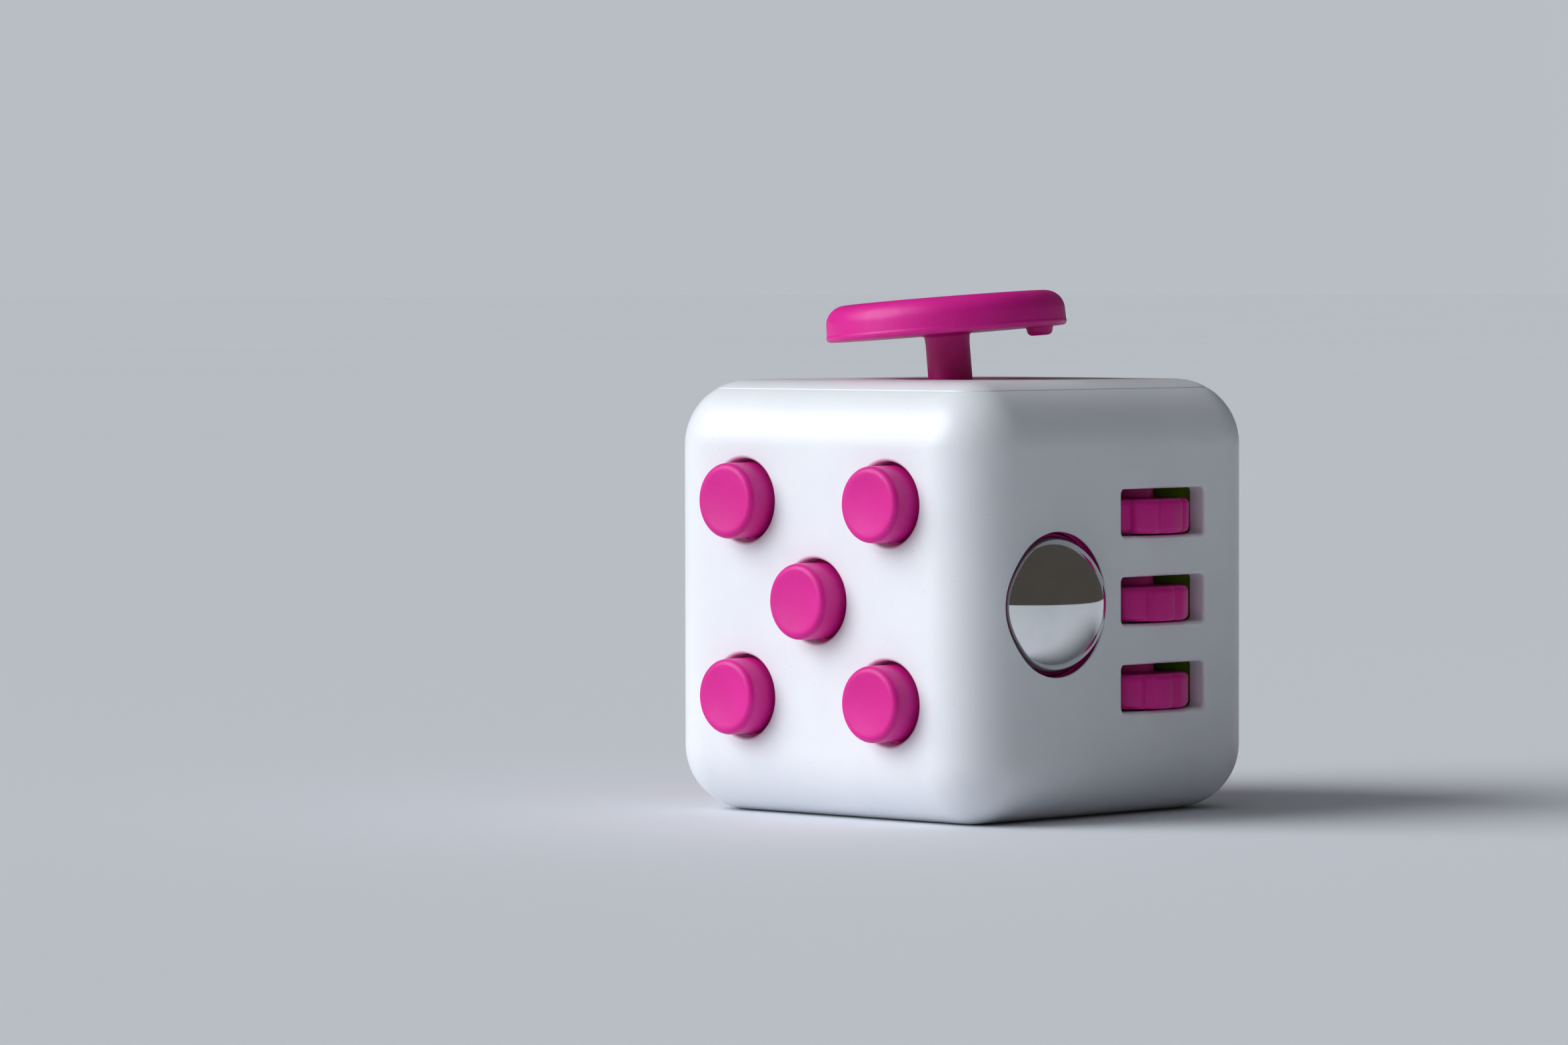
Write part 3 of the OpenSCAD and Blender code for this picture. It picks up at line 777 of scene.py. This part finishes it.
def make_dial():
    out = -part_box("dial")[0].x                  # distance of the rim from the cube's middle
    profile = in_mm([(0, 13.75), (2.2, 13.75), (2.2, 15.75), (8.8, 15.75)])
    profile += arc(8.8 * MM, 15.95 * MM, 0.2 * MM, -90, 0, 3)
    profile += arc(8.3 * MM, out - 0.7 * MM, 0.7 * MM, 0, 90)
    for r in (7.6, 7, 6, 5, 4, 3, 2, 1, 0):
        profile.append((r * MM, out - 0.95 * MM * (1 - (r / 7.9) ** 2) ** 1.5))
    dial = lathe("spin_disc", profile, 160, place=facing(LEFT, 0, 0))
    combine(dial, dial_nub(), "UNION")
    shade(dial, 32)
    piece(dial, "spinner", "magenta_plastic", "dial")


make_shell()
make_panel()
make_disc()
make_post()
make_buttons()
make_ball()
make_wheels()
make_rocker()
make_dial()

# ------------------------------------------------------------ CAD nodes that stay as they are

slots = {s["node"]: s["material_slot"] for s in frame["record"]["subparts"]}
for name, obj in frame["nodes"].items():
    if not obj.hide_render:
        obj.data.materials.clear()
        obj.data.materials.append(MATERIALS[slots[name]])
        obj.data.shade_smooth()
        obj.data.set_sharp_from_angle(angle=math.radians(30))

# ------------------------------------------------------------ floor, backdrop, lights and camera

def plain(name, colour, glow=0.0, look=(1, 1, 1)):
    n = Nodes(name)
    n.link(n.mix(n.ramp(n.noise(0.002, 2), 0.3, 0.7), colour, tuple(c * 0.98 for c in colour)),
           n.shader.inputs["Base Color"])
    n.set(Roughness=0.85, Emission_Strength=glow)
    n.shader.inputs["Emission Color"].default_value = (*look, 1)
    return n.material


FLOOR = 30                       # half the floor's side, m
WALL_R = 25                      # backdrop, m
WALL_STEPS = 48

corners = [(-FLOOR, -FLOOR, 0), (FLOOR, -FLOOR, 0), (FLOOR, FLOOR, 0), (-FLOOR, FLOOR, 0)]
floor = new_object("floor", corners, [(0, 1, 2, 3)])
floor.data.materials.append(plain("floor_paint", (0.76, 0.79, 0.84)))

wall = circle(WALL_R, WALL_STEPS)(0)
panes = [(k, (k + 1) % WALL_STEPS, WALL_STEPS + (k + 1) % WALL_STEPS, WALL_STEPS + k)
         for k in range(WALL_STEPS)]
backdrop = new_object("backdrop", [(x, y, z) for z in (-1, 20) for x, y in wall], panes)
backdrop.data.materials.append(plain("backdrop_paint", (0.0, 0.0, 0.0), 1.0, (0.475, 0.505, 0.547)))
backdrop.visible_diffuse = False
backdrop.visible_glossy = False
backdrop.visible_shadow = False

CAMERA_AT = Vector((360.08, -394.69, 40.25)) * MM
AZIMUTH, PITCH_DOWN, ROLL = 43.841, 1.958, 0.106
FOCAL_PX, IMAGE_PX, SENSOR = 10445.0, 2352.0, 36.0

lens = bpy.data.cameras.new("camera")
lens.sensor_width = SENSOR
lens.lens = SENSOR * FOCAL_PX / IMAGE_PX
lens.clip_start = 0.01
lens.clip_end = 100
camera = bpy.data.objects.new("camera", lens)
scene.collection.objects.link(camera)
camera.matrix_world = (Matrix.Translation(CAMERA_AT)
                       @ Matrix.Rotation(math.radians(AZIMUTH), 4, "Z")
                       @ Matrix.Rotation(math.radians(90 - PITCH_DOWN), 4, "X")
                       @ Matrix.Rotation(math.radians(-ROLL), 4, "Z"))
scene.camera = camera


def sun(name, direction, strength, spread, colour, shiny=True):
    """Soft even light that comes from direction."""
    data = bpy.data.lights.new(name, "SUN")
    data.energy = strength
    data.angle = math.radians(spread)
    data.color = colour
    obj = bpy.data.objects.new(name, data)
    scene.collection.objects.link(obj)
    obj.rotation_euler = Vector(direction).to_track_quat("Z", "Y").to_euler()
    obj.visible_glossy = shiny


sun("key", (-0.56, -0.85, 0.62), 3.0, 50, (0.96, 0.98, 1.0))
sun("overhead", (-0.10, -0.45, 1.0), 0.55, 100, (0.80, 0.90, 1.0), shiny=False)

world = bpy.data.worlds.new("room")
scene.world = world
world.use_nodes = True
background = world.node_tree.nodes["Background"]
background.inputs["Color"].default_value = (0.75, 0.68, 0.60, 1)
background.inputs["Strength"].default_value = 0.09

scene.view_settings.view_transform = "Standard"
